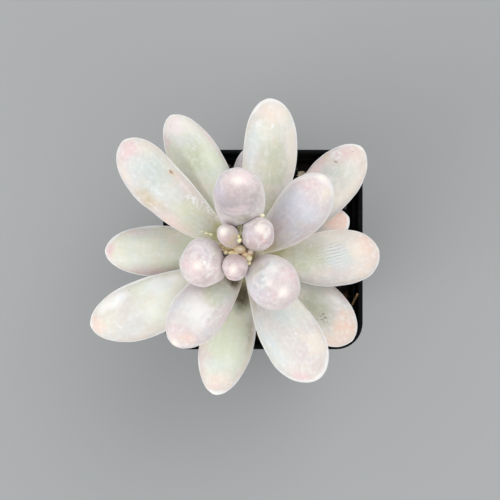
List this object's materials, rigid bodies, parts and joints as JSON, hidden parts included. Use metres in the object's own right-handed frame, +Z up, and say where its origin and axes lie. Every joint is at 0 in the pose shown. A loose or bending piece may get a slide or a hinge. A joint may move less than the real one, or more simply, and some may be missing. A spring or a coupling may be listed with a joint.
{
  "type": "potted pachyphytum succulent",
  "caption": "Small rosette succulent with plump, pale, bloom-covered leaves spiralling up a short leaning stem, planted in potting mix in a square tapered black plastic nursery pot.",
  "frame": {"origin": "middle of the pot's flat underside, which stands on the ground", "axes": "+Z up through the pot; the pot's four sides face +X, -X, +Y and -Y; +Y is the top of the picture seen from above"},
  "size_m": [0.0821, 0.0841, 0.1084],
  "materials": {
    "pot_plastic": "satin moulded polypropylene, black",
    "potting_mix": "rough, crumbly bark and peat mix with pale grit",
    "stem_skin": "matt green-brown skin with old leaf scars",
    "bud_skin": "waxy golden buds",
    "leaf_young": "matt waxy bloom, lavender white with pink tips",
    "leaf_old": "matt waxy bloom, pale green white with salmon tips"
  },
  "bodies": {
    "root": {"pot": "pot_plastic", "soil": "potting_mix", "stem": "stem_skin", "growing_tip": "bud_skin", "leaf_01": "leaf_young", "leaf_02": "leaf_young", "leaf_03": "leaf_young", "leaf_04": "leaf_young", "leaf_05": "leaf_young", "leaf_06": "leaf_young", "leaf_07": "leaf_young", "leaf_08": "leaf_young", "leaf_09": "leaf_old", "leaf_10": "leaf_old", "leaf_11": "leaf_old", "leaf_12": "leaf_old", "leaf_13": "leaf_old", "leaf_14": "leaf_old", "leaf_15": "leaf_old", "leaf_16": "leaf_old", "leaf_17": "leaf_old", "leaf_18": "leaf_old", "leaf_19": "leaf_old", "leaf_20": "leaf_old", "leaf_21": "leaf_old", "leaf_22": "leaf_old", "leaf_23": "leaf_old"}
  },
  "joints": []
}
